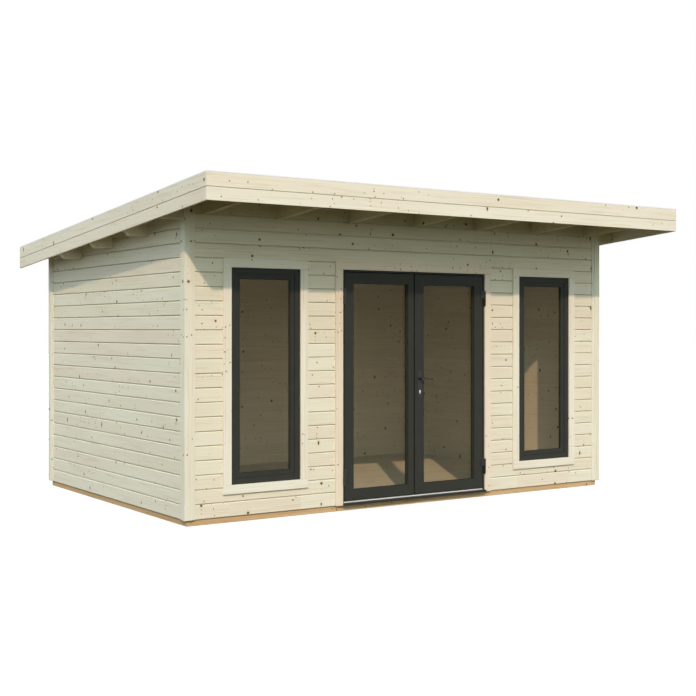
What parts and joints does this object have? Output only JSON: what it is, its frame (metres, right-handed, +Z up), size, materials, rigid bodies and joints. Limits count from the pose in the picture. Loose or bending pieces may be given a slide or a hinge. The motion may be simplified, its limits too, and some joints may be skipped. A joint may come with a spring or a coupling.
{
  "type": "garden house",
  "caption": "Pale timber garden house with a single-pitch roof that overhangs its front, a pair of glazed dark doors that open outwards, and a tall narrow window on either side",
  "frame": {"origin": "on the ground, under the middle of the roof", "axes": "X to the right seen from the front, Y towards the back, Z up; the doors face -Y"},
  "size_m": [4.9, 4, 2.6515],
  "materials": {
    "base_timber": "rough sawn, treated brown",
    "floor_boards": "planed, untreated",
    "post_timber": "planed, untreated",
    "wall_boards": "planed, untreated",
    "roof_timber": "planed, untreated",
    "roof_sheet": "matt mineral felt",
    "fascia_boards": "planed, untreated",
    "casing_boards": "planed, untreated",
    "dark_joinery": "satin anthracite paint",
    "clear_glass": "clear",
    "threshold_metal": "mill",
    "dark_metal": "satin",
    "lock_metal": "satin nickel"
  },
  "bodies": {
    "house": {"base_beam_front": "base_timber", "base_beam_back": "base_timber", "base_beam_left": "base_timber", "base_beam_right": "base_timber", "floor_deck": "floor_boards", "corner_post_front_left": "post_timber", "corner_post_front_right": "post_timber", "corner_post_back_left": "post_timber", "corner_post_back_right": "post_timber", "front_wall_head": "wall_boards", "front_wall_left_end": "wall_boards", "front_wall_left_middle": "wall_boards", "front_wall_right_middle": "wall_boards", "front_wall_right_end": "wall_boards", "front_wall_below_left_window": "wall_boards", "front_wall_below_right_window": "wall_boards", "left_wall": "wall_boards", "right_wall": "wall_boards", "back_wall": "wall_boards", "rafter_1": "roof_timber", "rafter_2": "roof_timber", "rafter_3": "roof_timber", "rafter_4": "roof_timber", "rafter_5": "roof_timber", "rafter_6": "roof_timber", "rafter_7": "roof_timber", "outriggers_left": "roof_timber", "outriggers_right": "roof_timber", "roof_deck": "roof_timber", "roof_covering": "roof_sheet", "fascia_front": "fascia_boards", "fascia_back": "fascia_boards", "fascia_left": "fascia_boards", "fascia_right": "fascia_boards", "door_casing": "casing_boards", "left_window_casing": "casing_boards", "right_window_casing": "casing_boards", "door_frame": "dark_joinery", "left_window_frame": "dark_joinery", "right_window_frame": "dark_joinery", "left_window_glass": "clear_glass", "right_window_glass": "clear_glass", "door_threshold": "threshold_metal", "frame_hinges": "dark_metal"},
    "left_leaf": {"left_leaf_frame": "dark_joinery", "left_leaf_glass": "clear_glass", "left_leaf_hinges": "dark_metal"},
    "right_leaf": {"right_leaf_frame": "dark_joinery", "right_leaf_glass": "clear_glass", "right_leaf_hinges": "dark_metal", "lock_plates": "dark_metal", "lock_cylinder": "lock_metal"},
    "lever": {"door_lever": "dark_metal"}
  },
  "joints": [
    {"name": "left_leaf_hinge", "type": "hinge", "parent": "house", "child": "left_leaf", "pos_m": [-0.768, -1.237, 1], "axis": [0, 0, -1], "range_deg": [0, 110]},
    {"name": "right_leaf_hinge", "type": "hinge", "parent": "house", "child": "right_leaf", "pos_m": [0.768, -1.237, 1], "axis": [0, 0, 1], "range_deg": [0, 110]},
    {"name": "lever_turn", "type": "hinge", "parent": "right_leaf", "child": "lever", "pos_m": [0.0365, -1.195, 1.0895], "axis": [0, 1, 0], "range_deg": [0, 40], "stiffness_Nm_per_rad": 1, "springref_deg": -22.92}
  ]
}
